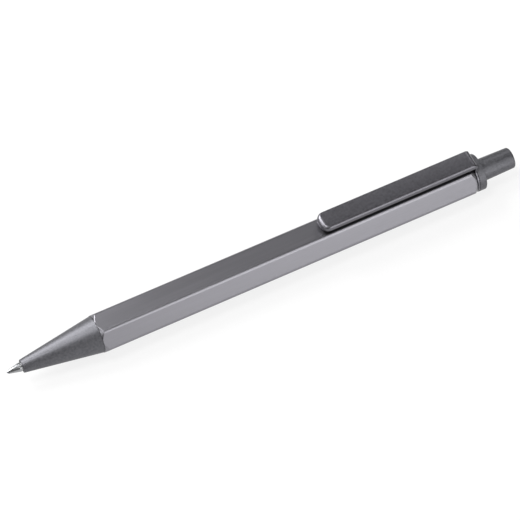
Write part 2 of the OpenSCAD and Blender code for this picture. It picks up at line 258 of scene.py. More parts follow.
def anodised_aluminium():
    """Metallic, satin, with stretched die lines in bump and roughness and a fine blasted grain."""
    material, tree = new_material("anodised_aluminium")
    place = add_node(tree, "ShaderNodeTexCoord").outputs["Object"]
    along = add_node(tree, "ShaderNodeMapping", {
        "Vector": place,
        "Scale": (1 / DIE_LINE_LENGTH, 1 / DIE_LINE_WIDTH, 1 / DIE_LINE_WIDTH),
    })
    lines = add_node(tree, "ShaderNodeTexNoise", {
        "Vector": along.outputs[0], "Scale": 1.0, "Detail": 3.0, "Roughness": 0.6,
    })
    grain = add_node(tree, "ShaderNodeTexNoise", {
        "Vector": place, "Scale": 1 / BLAST_GRAIN, "Detail": 2.0,
    })
    tone = add_node(tree, "ShaderNodeMix", {
        "Factor": lines.outputs["Fac"], "A": linear("#818085"), "B": linear("#87868b"),
    }, data_type="RGBA")
    rough = add_node(tree, "ShaderNodeMapRange", {
        "Value": lines.outputs["Fac"], "To Min": 0.28, "To Max": 0.36,
    })
    line_bump = add_node(tree, "ShaderNodeBump", {
        "Height": lines.outputs["Fac"], "Strength": 0.05, "Distance": 0.02 * MM,
    })
    bump = add_node(tree, "ShaderNodeBump", {
        "Height": grain.outputs["Fac"], "Strength": 0.15, "Distance": 0.01 * MM,
        "Normal": line_bump.outputs[0],
    })
    close_material(tree, add_node(tree, "ShaderNodeBsdfPrincipled", {
        "Base Color": tone.outputs["Result"], "Metallic": 1.0,
        "Roughness": rough.outputs["Result"], "Normal": bump.outputs[0],
    }))
    return material


ANODISED = anodised_aluminium()

# %% [markdown]
# A hexagonal barrel could be a cylinder with six sides and a bevel, but then the turned chamfer
# at each end, which cuts only the ridges and leaves a curved end on every flat, would need a
# boolean. Here the outline is a smaller hexagon pushed outwards by the ridge radius, which
# rounds the ridges exactly, and the chamfer is the smaller of two radii at every point: that of
# the hexagon and that of a cone.

# %% Barrel
BARREL_LOW, BARREL_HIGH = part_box("barrel")
FLAT_REACH = AXIS_Z
RIDGE_RADIUS = 1.0 * MM
FLAT_STEPS, RIDGE_STEPS = 20, 8
RIDGE_HOLD = 0.08 * MM
CHAMFER_SLOPE = math.tan(math.radians(36))
FRONT_END_RADIUS, REAR_END_RADIUS = 4.83 * MM, 4.45 * MM
CHAMFER_BLEND = 0.01 * MM
BORE_RADIUS = 3.6 * MM
BORE_BREAK = 0.05 * MM
FIT_GAP = 0.02 * MM
BUSH_LOW, BUSH_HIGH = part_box("front_bush")
BUSH_ROOM_RADIUS = (BUSH_HIGH.z - BUSH_LOW.z) / 2 + FIT_GAP
BUSH_ROOM_LENGTH = BUSH_HIGH.x - BARREL_LOW.x
RINGS_FROM_END = np.concatenate([np.linspace(0, 1.5, 31), [1.7, 2.2, 3.5]]) * MM
PLAIN_FROM, PLAIN_RINGS = 5 * MM, 12


def hexagon_outline():
    """Points (y, z) round the axis: a hexagon's side moved outwards by the ridge radius along
    its normal, and at each corner an arc of that radius between two normals."""
    inner = FLAT_REACH - RIDGE_RADIUS
    half_side = inner * math.tan(math.radians(30))
    inside = np.linspace(-half_side + RIDGE_HOLD, half_side - RIDGE_HOLD, FLAT_STEPS)
    along = np.concatenate([[-half_side], inside, np.full(RIDGE_STEPS, half_side)])
    swing = np.concatenate([np.zeros(FLAT_STEPS + 1), np.linspace(0, 60, RIDGE_STEPS)])
    face = np.repeat(np.arange(6) * 60.0, len(along))
    along, swing = np.tile(along, 6), np.tile(swing, 6)
    flat_angle, normal_angle = np.radians(face), np.radians(face + swing)
    normal = np.stack([np.sin(normal_angle), np.cos(normal_angle)], -1)
    across = np.stack([np.sin(flat_angle), np.cos(flat_angle)], -1) * inner
    sideways = np.stack([np.cos(flat_angle), -np.sin(flat_angle)], -1) * along[:, None]
    return across + sideways + normal * RIDGE_RADIUS


def soft_min(a, b, width):
    """The smaller of two values, with a rounded changeover about as wide as width: half of
    their sum less the root of their difference squared plus the width squared."""
    return (a + b - np.sqrt((a - b) ** 2 + width ** 2)) / 2


def barrel_surface():
    """Rings along the pen. Outside, each ring is the hexagon held inside the chamfer's cone;
    the ends fold inwards to round rings along the bore, and the last ring meets the first.
    The rings are 0.05 mm apart over the chamfers and grow sparse towards the plain middle."""
    outline = hexagon_outline()
    reach = np.linalg.norm(outline, axis=1)
    middle = np.linspace(PLAIN_FROM, BARREL_HIGH.x - BARREL_LOW.x - PLAIN_FROM, PLAIN_RINGS)
    x_outer = np.concatenate([BARREL_LOW.x + RINGS_FROM_END, BARREL_LOW.x + middle,
                              BARREL_HIGH.x - RINGS_FROM_END[::-1]])
    cone = np.minimum(FRONT_END_RADIUS + (x_outer - BARREL_LOW.x) * CHAMFER_SLOPE,
                      REAR_END_RADIUS + (BARREL_HIGH.x - x_outer) * CHAMFER_SLOPE)
    radius = soft_min(reach[None], cone[:, None], CHAMFER_BLEND)
    outer = outline[None] * (radius / reach[None])[..., None]
    rear, front, room = BARREL_HIGH.x, BARREL_LOW.x, BUSH_ROOM_LENGTH
    bore = np.array([
        (rear, BUSH_ROOM_RADIUS + BORE_BREAK), (rear - BORE_BREAK, BUSH_ROOM_RADIUS),
        (rear - room, BUSH_ROOM_RADIUS), (rear - room, BORE_RADIUS),
        (front + room, BORE_RADIUS), (front + room, BUSH_ROOM_RADIUS),
        (front + BORE_BREAK, BUSH_ROOM_RADIUS), (front, BUSH_ROOM_RADIUS + BORE_BREAK),
    ])
    inner = (outline / reach[:, None])[None] * bore[:, 1, None, None]
    rings = np.concatenate([outer, inner])
    x = np.concatenate([x_outer, bore[:, 0]])
    x = np.repeat(x[:, None], len(outline), axis=1)
    return np.stack([x, rings[..., 0], AXIS_Z + rings[..., 1]], -1)


barrel_points = barrel_surface()
barrel_skin = make_piece(
    "barrel_skin", barrel_points,
    grid_faces(barrel_points.shape[0], barrel_points.shape[1], True), ANODISED,
)
place_piece(barrel_skin, "barrel", "barrel_anodised", "barrel")

# %% [markdown]
# The nose, the collar and the button are turned brass, plated a dark gunmetal and sealed with a
# thin satin lacquer, so the metal still shines through, but softly. They are darker than the
# barrel and also a little rougher, so the highlight on the nose is a broad soft band. The lacquer
# is a little uneven, and a fine mottle in its tone and roughness makes the band grainy. A lathe
# leaves fine rings round each piece. The rings are 0.25 mm apart here and the mottle's grain is
# 0.6 mm, both coarser than life so that they show. The pressed clip has the same finish over
# spring steel, smoother and without rings.

# %% Lacquered gunmetal
WAVE_BAND = 0.314  # the distance between two bands of a wave texture at scale 1
LATHE_PITCH = 0.25 * MM
LACQUER_GRAIN = 0.6 * MM


def lacquered_gunmetal(name, colour, smooth, rough, ring_strength, unevenness):
    """Dark plating under a satin lacquer, with faint rings across the pen's axis and a fine
    mottle, whose tone differs from the colour by at most the share called unevenness."""
    material, tree = new_material(name)
    place = add_node(tree, "ShaderNodeTexCoord").outputs["Object"]
    rings = add_node(tree, "ShaderNodeTexWave", {
        "Vector": place, "Scale": WAVE_BAND / LATHE_PITCH, "Distortion": 0.6, "Detail": 1.0,
        "Detail Scale": 1.5,
    }, wave_type="BANDS", bands_direction="X", wave_profile="SIN")
    mottle = add_node(tree, "ShaderNodeTexNoise", {
        "Vector": place, "Scale": 1 / LACQUER_GRAIN, "Detail": 3.0, "Roughness": 0.6,
    })
    share = add_node(tree, "ShaderNodeMapRange", {
        "Value": mottle.outputs["Fac"], "From Min": 0.3, "From Max": 0.7,
    })
    tone = add_node(tree, "ShaderNodeMix", {
        "Factor": share.outputs["Result"],
        "A": [c * (1 - unevenness) for c in linear(colour)[:3]] + [1.0],
        "B": [c * (1 + unevenness) for c in linear(colour)[:3]] + [1.0],
    }, data_type="RGBA")
    roughness = add_node(tree, "ShaderNodeMapRange", {
        "Value": share.outputs["Result"], "To Min": smooth, "To Max": rough,
    })
    ring_bump = add_node(tree, "ShaderNodeBump", {
        "Height": rings.outputs["Fac"], "Strength": ring_strength, "Distance": 0.005 * MM,
    })
    bump = add_node(tree, "ShaderNodeBump", {
        "Height": mottle.outputs["Fac"], "Strength": 0.25, "Distance": 0.02 * MM,
        "Normal": ring_bump.outputs[0],
    })
    close_material(tree, add_node(tree, "ShaderNodeBsdfPrincipled", {
        "Base Color": tone.outputs["Result"], "Metallic": 1.0,
        "Roughness": roughness.outputs["Result"], "Normal": bump.outputs[0],
    }))
    return material


TURNED_GUNMETAL = lacquered_gunmetal("lacquered_gunmetal_turned", "#656569", 0.44, 0.54, 0.1, 0.2)
PRESSED_GUNMETAL = lacquered_gunmetal("lacquered_gunmetal_pressed", "#6b6a6f", 0.30, 0.38, 0.0, 0.1)

# %% [markdown]
# The nose is one turned piece: the long cone, a threaded spigot behind it that screws into the
# barrel, and a stepped bore that holds the spring. Its profile runs round the outside and back
# through the bore. The thread is the only part that isn't turned: its radius falls and rises
# with angle and place together, which is what makes a helix.

# %% Nose cone
NOSE_LOW, NOSE_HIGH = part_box("nose_cone")
NOSE_BASE_X = BARREL_LOW.x
NOSE_BASE_RADIUS = (NOSE_HIGH.z - NOSE_LOW.z) / 2
NOSE_TIP_RADIUS = 1.68 * MM
MOUTH_RADIUS = 1.25 * MM
THROAT_RADIUS = 1.75 * MM
CHAMBER_RADIUS = 2.2 * MM
TUBE_ROOM_RADIUS = 3.1 * MM
THREAD_RADIUS = 3.8 * MM
THREAD_PITCH = 0.75 * MM
THREAD_DEPTH = 0.3 * MM
THREAD_RINGS = 100
MOUTH_ROUND, TIP_ROUND, BASE_ROUND = 0.08 * MM, 0.07 * MM, 0.08 * MM
THROAT_AT, SPRING_SEAT_AT, TUBE_ROOM_AT = 3.5 * MM, 6.2 * MM, 13.0 * MM


def nose_surface():
    """The turned profile, with the spigot's radius cut by a V thread: the cut is deepest where
    place / pitch minus turn is whole, and it fades out over one pitch at both ends."""
    tip = NOSE_LOW.x
    outside = rounded([
        (tip, MOUTH_RADIUS, MOUTH_ROUND), (tip, NOSE_TIP_RADIUS, TIP_ROUND),
        (NOSE_BASE_X, NOSE_BASE_RADIUS, BASE_ROUND), (NOSE_BASE_X, THREAD_RADIUS, 0),
    ])[:-1]
    thread_x = np.linspace(NOSE_BASE_X, NOSE_HIGH.x, THREAD_RINGS)
    thread = np.stack([thread_x, np.full(THREAD_RINGS, THREAD_RADIUS)], -1)
    inside = np.array([
        (NOSE_HIGH.x, TUBE_ROOM_RADIUS), (tip + TUBE_ROOM_AT, TUBE_ROOM_RADIUS),
        (tip + TUBE_ROOM_AT, CHAMBER_RADIUS), (tip + SPRING_SEAT_AT, CHAMBER_RADIUS),
        (tip + SPRING_SEAT_AT, THROAT_RADIUS), (tip + THROAT_AT, THROAT_RADIUS),
        (tip + THROAT_AT, MOUTH_RADIUS),
    ])
    profile = np.concatenate([outside, thread, inside])
    points = turn(profile)
    rows = slice(len(outside), len(outside) + len(thread))
    angle = np.linspace(0, 1, TURN_STEPS, endpoint=False)
    phase = (thread_x[:, None] - NOSE_BASE_X) / THREAD_PITCH - angle[None]
    tooth = 1 - 2 * np.abs(phase % 1 - 0.5)
    fade = np.clip(np.minimum(thread_x - NOSE_BASE_X, NOSE_HIGH.x - thread_x) / THREAD_PITCH, 0, 1)
    radius = THREAD_RADIUS - THREAD_DEPTH * fade[:, None] * (1 - tooth)
    grow = radius / THREAD_RADIUS
    points[rows, :, 1] *= grow
    points[rows, :, 2] = AXIS_Z + (points[rows, :, 2] - AXIS_Z) * grow
    return points


nose_points = nose_surface()
nose_piece = make_piece("nose_skin", nose_points, grid_faces(len(nose_points), TURN_STEPS, True),
                        TURNED_GUNMETAL)
place_piece(nose_piece, "nose", "dark_lacquer", "nose_cone")

# %% [markdown]
# The collar and the button are plain turned work. The button tapers slightly towards its end,
# where a generous round meets a flat face, and its shank runs on inside the collar, so that
# more of it comes out when the pen is clicked.

# %% Collar and button
COLLAR_LOW, COLLAR_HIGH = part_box("collar")
RING_LOW, RING_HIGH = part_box("clip_plate")
COLLAR_FACE_X = RING_HIGH.x
COLLAR_RADIUS = (COLLAR_HIGH.z - COLLAR_LOW.z) / 2
STUB_RADIUS = 3.8 * MM
SLEEVE_ROOM_RADIUS = 3.37 * MM
LIP_RADIUS = 3.0 * MM
LIP_LENGTH = 0.6 * MM
FINE_ROUND, REAR_RIM_ROUND = 0.1 * MM, 0.12 * MM

collar_piece = turned_piece("collar_skin", rounded([
    (COLLAR_LOW.x, SLEEVE_ROOM_RADIUS, 0), (COLLAR_LOW.x, STUB_RADIUS, FINE_ROUND),
    (COLLAR_FACE_X, STUB_RADIUS, 0), (COLLAR_FACE_X, COLLAR_RADIUS, FINE_ROUND),
    (COLLAR_HIGH.x, COLLAR_RADIUS, REAR_RIM_ROUND), (COLLAR_HIGH.x, LIP_RADIUS, FINE_ROUND),
    (COLLAR_HIGH.x - LIP_LENGTH, LIP_RADIUS, 0),
    (COLLAR_HIGH.x - LIP_LENGTH, SLEEVE_ROOM_RADIUS, 0),
]), TURNED_GUNMETAL)
place_piece(collar_piece, "barrel", "dark_lacquer", "collar")

BUTTON_LOW, BUTTON_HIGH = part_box("push_button")
BUTTON_RADIUS = (BUTTON_HIGH.z - BUTTON_LOW.z) / 2
BUTTON_END_RADIUS = 2.71 * MM
BUTTON_ROUND = 0.45 * MM
SOCKET_RADIUS = 1.52 * MM
SOCKET_LENGTH = 10.27 * MM

button_piece = turned_piece("button_skin", rounded([
    (BUTTON_LOW.x + SOCKET_LENGTH, 0, 0), (BUTTON_LOW.x + SOCKET_LENGTH, SOCKET_RADIUS, 0),
    (BUTTON_LOW.x, SOCKET_RADIUS, 0), (BUTTON_LOW.x, BUTTON_RADIUS, FINE_ROUND),
    (COLLAR_HIGH.x, BUTTON_RADIUS, 0), (BUTTON_HIGH.x, BUTTON_END_RADIUS, BUTTON_ROUND),
    (BUTTON_HIGH.x, 0, 0),
], steps=8), TURNED_GUNMETAL, closed=False)
place_piece(button_piece, "knock", "dark_lacquer", "push_button")

# %% [markdown]
# The clip is one strip of spring steel, pressed into a shallow tray with rounded edges, its
# front end rolled down and its rear end bent down into a riser that the collar clamps. One
# closed outline, seen from above, carries everything: from each of its points the surface goes
# up the outer wall, over the edge's round and inwards to the middle line, and the inside does
# the same one sheet thickness further in. The rear end is then pressed down to the bend's arc.

# %% Pocket clip
ARM_LOW, ARM_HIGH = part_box("clip_arm")
CLIP_WALL = 1.4 * MM
SHEET = RING_HIGH.x - RING_LOW.x
CORNER_FRONT, CORNER_REAR = 2.1 * MM, 0.3 * MM
EDGE_SIDE, EDGE_FRONT, EDGE_REAR = 0.6 * MM, 0.95 * MM, 0.06 * MM
INNER_EDGE_LEAST = 0.1 * MM
FRONT_STRETCH = 0.4
BEND_RADIUS = 1.2 * MM
CROWN = 0.08 * MM
TOP_SHARES = np.array([0.01, 0.03, 0.06, 0.1, 0.15, 0.2, 0.26, 0.33, 0.41, 0.5, 0.7, 1.0])
RISER_FOOT_Z = AXIS_Z + 3.9 * MM
LIP_SHARE = 0.2
SIDE_STEPS, BEND_STEPS, FRONT_STEPS, REAR_STEPS = 40, 12, 10, 12
FRONT_CORNER_STEPS, REAR_CORNER_STEPS = 18, 8
WALL_STEPS, EDGE_STEPS, LIP_STEPS = 5, 10, 7


def tray_outline():
    """The tray's outline from above, and at each point the inward direction, a value that is 1
    on the front end and one that is 1 on the rear end, both fading round the corners."""
    half = (ARM_HIGH.y - ARM_LOW.y) / 2
    front, rear = ARM_LOW.x, ARM_HIGH.x
    points, inward, is_front, is_rear = [], [], [], []

    def run(ax, ay, bx, by, nx, ny, count, at_front=0.0, at_rear=0.0):
        """Evenly spaced points from a towards b, all with the inward direction n."""
        share = np.linspace(0, 1, count, endpoint=False)[:, None]
        points.append(np.array([ax, ay]) * (1 - share) + np.array([bx, by]) * share)
        inward.append(np.tile([nx, ny], (count, 1)))
        is_front.append(np.full(count, at_front))
        is_rear.append(np.full(count, at_rear))

    def arc(cx, cy, radius, start, end, count, front_ends=(0, 0), rear_ends=(0, 0)):
        """Points c + R (cos a, sin a) from start to end, in degrees. The two end values change
        over the arc as 3 s squared less 2 s cubed, where s is the share of it passed."""
        share = np.linspace(0, 1, count, endpoint=False)
        angle = np.radians(start + (end - start) * share)
        outward = np.stack([np.cos(angle), np.sin(angle)], -1)
        points.append(np.array([cx, cy]) + outward * radius)
        inward.append(-outward)
        ease = share * share * (3 - 2 * share)
        is_front.append(front_ends[0] * (1 - ease) + front_ends[1] * ease)
        is_rear.append(rear_ends[0] * (1 - ease) + rear_ends[1] * ease)

    cf, cr = CORNER_FRONT, CORNER_REAR
    bend = rear - BEND_RADIUS
    run(rear - cr, -half, bend, -half, 0, 1, BEND_STEPS)
    run(bend, -half, front + cf, -half, 0, 1, SIDE_STEPS)
    arc(front + cf, -half + cf, cf, 270, 180, FRONT_CORNER_STEPS, front_ends=(0, 1))
    run(front, -half + cf, front, half - cf, 1, 0, FRONT_STEPS, at_front=1.0)
    arc(front + cf, half - cf, cf, 180, 90, FRONT_CORNER_STEPS, front_ends=(1, 0))
    run(front + cf, half, bend, half, 0, -1, SIDE_STEPS)
    run(bend, half, rear - cr, half, 0, -1, BEND_STEPS)
    arc(rear - cr, half - cr, cr, 90, 0, REAR_CORNER_STEPS, rear_ends=(0, 1))
    run(rear, half - cr, rear, -half + cr, -1, 0, REAR_STEPS, at_rear=1.0)
    arc(rear - cr, -half + cr, cr, 0, -90, REAR_CORNER_STEPS, rear_ends=(1, 0))
    return tuple(np.concatenate(part) for part in (points, inward, is_front, is_rear))


def tray_skin(inset, outline, inward, edge, stretch, top, foot):
    """One side of the sheet, from its foot to the middle line: up the wall, over a quarter round
    of radius edge, stretched inwards at the front end, and straight inwards, with a slight
    crown across the top, which falls with the square of the distance from the middle."""
    quarter = np.radians(np.linspace(0, 90, EDGE_STEPS))
    wall_share = np.linspace(0, 1, WALL_STEPS)[:-1]
    wall_top = top - edge
    wall_z = foot[None] + (wall_top - foot)[None] * wall_share[:, None]
    round_z = wall_top[None] + edge[None] * np.sin(quarter)[:, None]
    round_in = (edge * stretch)[None] * (1 - np.cos(quarter))[:, None]
    inwards = np.concatenate([np.zeros_like(wall_z), round_in]) + inset
    heights = np.concatenate([wall_z, round_z])
    plan = outline[None] + inward[None] * inwards[..., None]
    half = (ARM_HIGH.y - ARM_LOW.y) / 2
    middle = np.stack([
        np.clip(outline[:, 0], ARM_LOW.x + half, ARM_HIGH.x - half), np.zeros(len(outline))
    ], -1)
    share = TOP_SHARES[:, None, None]
    top_plan = plan[-1][None] * (1 - share) + middle[None] * share
    off_middle = np.abs(np.concatenate([plan, top_plan])[..., 1]) / half
    heights = np.concatenate([heights, np.tile(heights[-1], (len(share), 1))])
    z = heights - CROWN * np.clip(off_middle, 0, 1) ** 2 * (heights > top - 2 * edge[None])
    points = np.concatenate([np.concatenate([plan, top_plan]), z[..., None]], -1)
    return bend_down(points, inset)


def bend_down(points, inset):
    """Presses the rear end down to its bend: above the tray's foot, heights shrink so that the
    top follows an arc about the bend's centre."""
    centre_x, centre_z = ARM_HIGH.x - BEND_RADIUS, ARM_HIGH.z - BEND_RADIUS
    radius = BEND_RADIUS - inset
    past = np.clip((points[..., 0] - centre_x) / radius, 0, 1)
    limit = centre_z + radius * np.sqrt(1 - past ** 2)
    base = ARM_HIGH.z - CLIP_WALL
    lowered = base + (points[..., 2] - base) * (limit - base) / (ARM_HIGH.z - inset - base)
    points[..., 2] = np.where(points[..., 2] > base, lowered, points[..., 2])
    return points


def clip_surface():
    """The inner skin from the middle line down, a rounded lip, and the outer skin back up. The
    wall's foot drops to the riser's foot where the rear end's value passes two thirds."""
    outline, inward, is_front, is_rear = tray_outline()
    edge = EDGE_SIDE + (EDGE_FRONT - EDGE_SIDE) * is_front + (EDGE_REAR - EDGE_SIDE) * is_rear
    stretch = 1 + FRONT_STRETCH * is_front
    top = ARM_HIGH.z
    foot = np.full(len(outline), top - CLIP_WALL)
    foot = foot + (RISER_FOOT_Z - foot) * np.clip(is_rear * 3 - 2, 0, 1)
    lip = SHEET * LIP_SHARE
    outer = tray_skin(0.0, outline, inward, edge, stretch, top, foot + lip)
    inner = tray_skin(SHEET, outline, inward, np.maximum(edge - SHEET, INNER_EDGE_LEAST), stretch,
                      top - SHEET, foot + lip)
    turn_down = np.radians(np.linspace(180, 360, LIP_STEPS)[1:-1])
    sideways = SHEET / 2 * (1 + np.cos(turn_down))
    lip_plan = outline[None] + inward[None] * (SHEET - sideways)[:, None, None]
    lip_z = (foot + lip)[None] + lip * np.sin(turn_down)[:, None]
    rim = np.concatenate([lip_plan, lip_z[..., None]], -1)
    return np.concatenate([inner[::-1], rim, outer])


clip_points = clip_surface()
clip_piece = make_piece("clip_strip", clip_points,
                        grid_faces(clip_points.shape[0], clip_points.shape[1], False),
                        PRESSED_GUNMETAL)
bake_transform(clip_piece)
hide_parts("clip_arm")

# %% [markdown]
# Two small pieces finish the clip: the thin ring that is clamped between barrel and collar, and
# the dimple under its front end that presses on the barrel and holds a pocket's cloth.

# %% Clip ring and contact dimple
RING_RADIUS = 4.6 * MM
RING_BORE = 3.85 * MM
RING_ROUND = 0.08 * MM
ring_piece = turned_piece("clip_ring", rounded([
    (RING_LOW.x, RING_BORE, 0), (RING_LOW.x, RING_RADIUS, RING_ROUND),
    (RING_HIGH.x, RING_RADIUS, RING_ROUND), (RING_HIGH.x, RING_BORE, 0),
]), PRESSED_GUNMETAL)
place_piece(ring_piece, "barrel", "clip_steel", "clip_plate")

DIMPLE_RADIUS = 1.1 * MM
DIMPLE_NECK_SHARE = 1.15
DIMPLE_RINGS, DIMPLE_SIDES = 12, 48
DIMPLE_X = ARM_LOW.x + 2.6 * MM


def dimple_surface():
    """A dome that hangs below the tray: radius R cos a at a depth of R sin a, with a short neck."""
    angle = np.radians(np.linspace(0, 90, DIMPLE_RINGS))
    bottom = BARREL_HIGH.z + FIT_GAP
    centre = bottom + DIMPLE_RADIUS
    neck = DIMPLE_RADIUS * DIMPLE_NECK_SHARE
    radius = np.concatenate([[neck, DIMPLE_RADIUS], DIMPLE_RADIUS * np.cos(angle[1:])])
    dome = centre - DIMPLE_RADIUS * np.sin(angle[1:])
    height = np.concatenate([[ARM_HIGH.z - SHEET, centre], dome])
    around = np.linspace(0, 2 * math.pi, DIMPLE_SIDES, endpoint=False)
    x = DIMPLE_X + radius[:, None] * np.cos(around)
    y = radius[:, None] * np.sin(around)
    return np.stack([x, y, np.repeat(height[:, None], DIMPLE_SIDES, axis=1)], -1)


dimple_points = dimple_surface()
dimple_points = np.concatenate([
    np.broadcast_to(dimple_points[:1].mean(1, keepdims=True), (1, DIMPLE_SIDES, 3)), dimple_points,
])
dimple_piece = make_piece("clip_dimple", dimple_points,
                          grid_faces(len(dimple_points), DIMPLE_SIDES, False), PRESSED_GUNMETAL)
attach(dimple_piece, "clip")

# %% [markdown]
# The point is bright nickel silver, turned to a cone that closes round the ball, and the ball is
# polished tungsten carbide, a slightly bluer grey with a sharper mirror. They are the only
# mirror-like things on the pen, so they show the room as a white and a dark half. The lathe
# rings are 0.15 mm apart, coarser than life, and only spread the shine a little.

# %% Writing point
POINT_LOW, POINT_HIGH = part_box("writing_point")
BALL_LOW, BALL_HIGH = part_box("writing_ball")
BALL_RADIUS = (BALL_HIGH.z - BALL_LOW.z) / 2
BALL_RINGS, BALL_SIDES = 24, 48
POINT_RADIUS = (POINT_HIGH.z - POINT_LOW.z) / 2
POINT_PITCH = 0.15 * MM
CONE_LENGTH = 3.15 * MM
CONE_STEP, CONE_STEP_LENGTH = 0.04 * MM, 0.05 * MM
SHANK_LENGTH = 8.8 * MM
NECK_RADIUS, CHANNEL_RADIUS = 0.85 * MM, 0.3 * MM
RIM_WALL = 0.08 * MM
RIM_ROUND, STEP_ROUND, SHANK_ROUND = 0.03 * MM, 0.02 * MM, 0.05 * MM
SEAT_RADIUS = BALL_RADIUS + FIT_GAP
SEAT_END_ANGLE, SEAT_STEPS = 0.3, 10
RING_SPREAD = 1.6


def bright_metal(name, colour, roughness):
    """Nearly mirror-bright metal with faint lathe rings in its roughness."""
    material, tree = new_material(name)
    place = add_node(tree, "ShaderNodeTexCoord").outputs["Object"]
    rings = add_node(tree, "ShaderNodeTexWave", {
        "Vector": place, "Scale": WAVE_BAND / POINT_PITCH, "Distortion": 0.3,
    }, wave_type="BANDS", bands_direction="X")
    spread = add_node(tree, "ShaderNodeMapRange", {
        "Value": rings.outputs["Fac"], "To Min": roughness, "To Max": roughness * RING_SPREAD,
    })
    close_material(tree, add_node(tree, "ShaderNodeBsdfPrincipled", {
        "Base Color": linear(colour), "Metallic": 1.0, "Roughness": spread.outputs["Result"],
    }))
    return material


NICKEL_SILVER = bright_metal("nickel_silver", "#9b9c9e", 0.20)
CARBIDE = bright_metal("tungsten_carbide", "#a7a9ad", 0.08)

ball_x = BALL_LOW.x + BALL_RADIUS
rim_x = POINT_LOW.x
cone_end, shank_end = BALL_LOW.x + CONE_LENGTH, BALL_LOW.x + SHANK_LENGTH
seat_angle = np.linspace(math.acos((rim_x - ball_x) / SEAT_RADIUS), SEAT_END_ANGLE, SEAT_STEPS)
seat = np.stack([ball_x + SEAT_RADIUS * np.cos(seat_angle), SEAT_RADIUS * np.sin(seat_angle)], -1)
point_outside = rounded([
    (rim_x, seat[0, 1], 0), (rim_x, SEAT_RADIUS + RIM_WALL, RIM_ROUND),
    (cone_end, POINT_RADIUS - CONE_STEP, 0),
    (cone_end + CONE_STEP_LENGTH, POINT_RADIUS, STEP_ROUND),
    (shank_end, POINT_RADIUS, SHANK_ROUND), (shank_end, NECK_RADIUS, 0),
    (POINT_HIGH.x, NECK_RADIUS, SHANK_ROUND), (POINT_HIGH.x, CHANNEL_RADIUS, 0),
])
channel = np.array([(POINT_HIGH.x, CHANNEL_RADIUS), (seat[-1, 0], CHANNEL_RADIUS)])
point_profile = np.concatenate([point_outside[1:-1], channel, seat[::-1]])
point_piece = turned_piece("point_skin", point_profile, NICKEL_SILVER)
place_piece(point_piece, "refill", "point_metal", "writing_point")


def ball_surface():
    """A sphere: latitude b from pole to pole along the pen, longitude a round it, so that
    x = -R cos b, y = R sin b sin a and z = R sin b cos a from the ball's middle."""
    latitude = np.linspace(0, math.pi, BALL_RINGS)[:, None]
    longitude = np.linspace(0, 2 * math.pi, BALL_SIDES, endpoint=False)[None]
    x = ball_x - BALL_RADIUS * np.cos(latitude) * np.ones_like(longitude)
    y = BALL_RADIUS * np.sin(latitude) * np.sin(longitude)
    z = AXIS_Z + BALL_RADIUS * np.sin(latitude) * np.cos(longitude)
    return np.stack([x, y, z], -1)


ball_piece = make_piece("ball_skin", ball_surface(), grid_faces(BALL_RINGS, BALL_SIDES, False),
                        CARBIDE)
place_piece(ball_piece, "ball", "carbide", "writing_ball")

# %% [markdown]
# What is inside the pen never shows from outside, but it is seen when the nose is unscrewed and
# it belongs to the model, so each hidden piece gets its real finish too. Turned brass is warm
# and softly bright, drawn steel a cold, clean sheen, moulded acetal a waxy milk white or a dull
# black, and paste ink nearly black and wet. Each varies slightly with a noise of 0.2 to 0.8 mm,
# which is coarser than life so that a close view shows it.

# %% Hidden pieces
UNEVEN_SHARE = 0.15


def plain_finish(name, colour, metallic, roughness, grain):
    """A plain finish whose colour and roughness vary with a fine noise of the given grain."""
    material, tree = new_material(name)
    place = add_node(tree, "ShaderNodeTexCoord").outputs["Object"]
    noise = add_node(tree, "ShaderNodeTexNoise", {
        "Vector": place, "Scale": 1 / grain, "Detail": 3.0,
    })
    tone = add_node(tree, "ShaderNodeMix", {
        "Factor": noise.outputs["Fac"], "A": linear(colour),
        "B": [c * (1 - UNEVEN_SHARE) for c in linear(colour)[:3]] + [1.0],
    }, data_type="RGBA")
    spread = add_node(tree, "ShaderNodeMapRange", {
        "Value": noise.outputs["Fac"], "To Min": roughness * (1 - UNEVEN_SHARE),
        "To Max": roughness * (1 + UNEVEN_SHARE),
    })
    close_material(tree, add_node(tree, "ShaderNodeBsdfPrincipled", {
        "Base Color": tone.outputs["Result"], "Metallic": metallic,
        "Roughness": spread.outputs["Result"],
    }))
    return material


HIDDEN_FINISHES = {
    "turned_brass": (("#c9a35a", 1.0, 0.28, 0.3 * MM),
                     ["front_bush", "rear_bush", "point_holder", "mechanism_sleeve"]),
    "drawn_steel": (("#c4c6ca", 1.0, 0.25, 0.5 * MM), ["refill_tube"]),
    "natural_acetal": (("#e6e3d8", 0.0, 0.42, 0.4 * MM), ["cam_sleeve", "rotor", "button_bush"]),
    "black_acetal": (("#26262a", 0.0, 0.4, 0.4 * MM), ["refill_plug", "plunger"]),
    "paste_ink": (("#0d0e1a", 0.0, 0.12, 0.8 * MM), ["ink_column"]),
}
for finish_name, (values, node_names) in HIDDEN_FINISHES.items():
    finish = plain_finish(finish_name, *values)
    for node_name in node_names:
        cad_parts[node_name].data.materials.clear()
        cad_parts[node_name].data.materials.append(finish)
print("hidden finishes:", len(HIDDEN_FINISHES))

# %% [markdown]
# The refill spring is a round wire wound on a helix. The wire's centre goes round the axis while
# it moves along it, and a small circle is carried along that path. In the pen it bears on the
# barrel at its front end and on the refill at its rear end, and shortens when the point comes out;
# here it is one mesh of a fixed length, tied to neither. Drawn spring wire is smooth, so it has a
# bright line along each turn.

# %% Refill spring
SPRING_LOW, SPRING_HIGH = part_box("refill_spring")
WIRE_RADIUS = 0.18 * MM
SPRING_TURNS = 10
RINGS_PER_TURN = 24
WIRE_SIDES = 10


